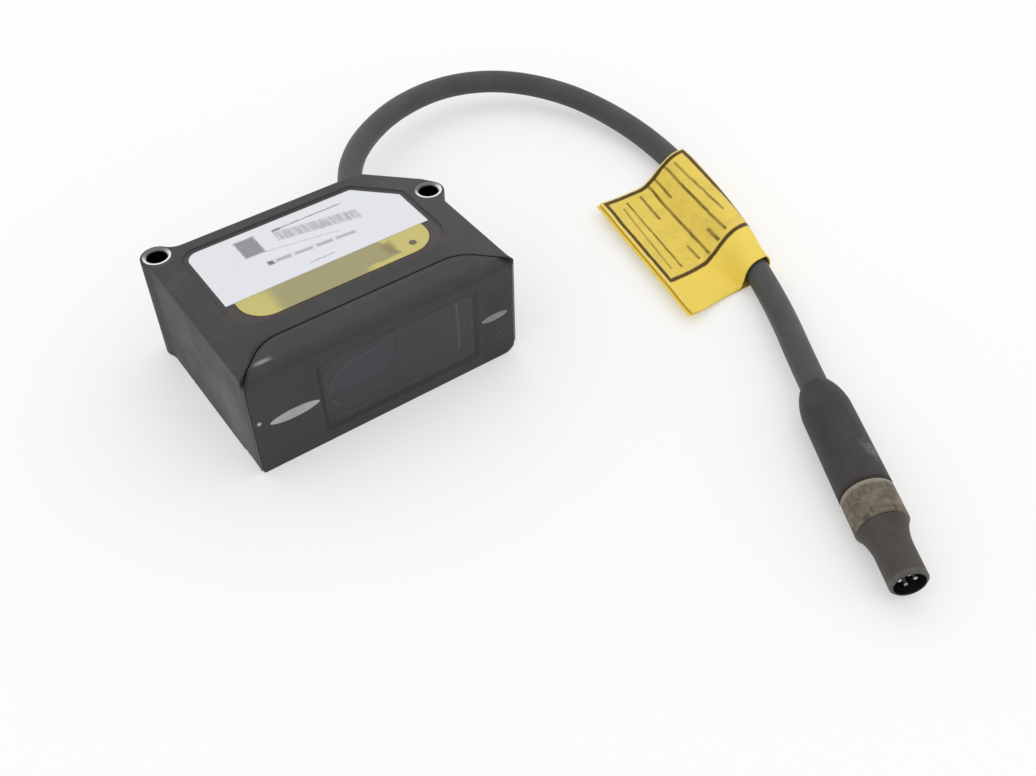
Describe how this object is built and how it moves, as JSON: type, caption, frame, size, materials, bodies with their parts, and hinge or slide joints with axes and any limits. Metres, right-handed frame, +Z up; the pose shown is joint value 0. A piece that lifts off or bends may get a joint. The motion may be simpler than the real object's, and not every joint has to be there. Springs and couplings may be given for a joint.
{
  "type": "laser distance sensor",
  "caption": "Flat dark laser distance sensor head with a window in its front, lined mounting ears, a short cable with a flag label, and a round plug with a turning ring.",
  "frame": {"origin": "on the resting face, midway between the mounting holes across and midway along the head's depth", "axes": "+X to the right seen from the front, +Y from the window to the cable outlet, +Z up through the labelled face"},
  "size_m": [0.1333, 0.1841, 0.0245],
  "materials": {
    "housing": "moulded dark grey plastic, fine grain",
    "cover": "moulded dark grey plastic, satin",
    "window": "dark tinted pane",
    "bush": "bright sleeve",
    "white_label": "smooth white label film",
    "yellow_label": "yellow label film",
    "lamp": "dark translucent lens",
    "lens": "coated lens",
    "chassis": "black moulded chassis",
    "cable_jacket": "dark grey jacket, slightly satin",
    "tag": "yellow label film with dark brown print",
    "grip": "black moulded grip",
    "ring": "tarnished nickel",
    "shell": "dark plug nose",
    "insert": "pale insert",
    "seal": "thin black seal",
    "barrel": "turned brass",
    "diode": "plated can",
    "clear_lens": "clear lens",
    "chip": "black package",
    "board": "green board",
    "ribbon": "amber film",
    "screw": "zinc plated",
    "led": "milky body",
    "gland": "black grommet",
    "clamp": "crimped ring",
    "wire": "insulated cores",
    "pin": "gold plated"
  },
  "bodies": {
    "sensor": {"housing": "housing", "front_cover": "cover", "front_window": "window", "left_mount_bush": "bush", "right_mount_bush": "bush", "top_label": "white_label", "yellow_strip": "yellow_label", "indicator_lens": "lamp", "receiver_lens": "lens", "optical_block": "chassis", "cable": "cable_jacket", "cable_tag": "tag", "connector_grip": "grip", "connector_shell": "shell", "contact_insert": "insert", "window_gasket": "seal", "laser_barrel": "barrel", "laser_diode": "diode", "collimator_lens": "clear_lens", "image_sensor": "chip", "sensor_board": "board", "flex_link": "ribbon", "main_board": "board", "board_chips": "chip", "board_screws": "screw", "indicator_led": "led", "cable_gland": "gland", "cable_clamp": "clamp", "lead_wires": "wire", "contact_pins": "pin"},
    "coupling": {"coupling_ring": "ring"}
  },
  "joints": [
    {"name": "coupling_spin", "type": "hinge", "parent": "sensor", "child": "coupling", "pos_m": [0.05282, -0.10182, 0.00515], "axis": [-0.4423, -0.8969, 0], "continuous": true}
  ]
}
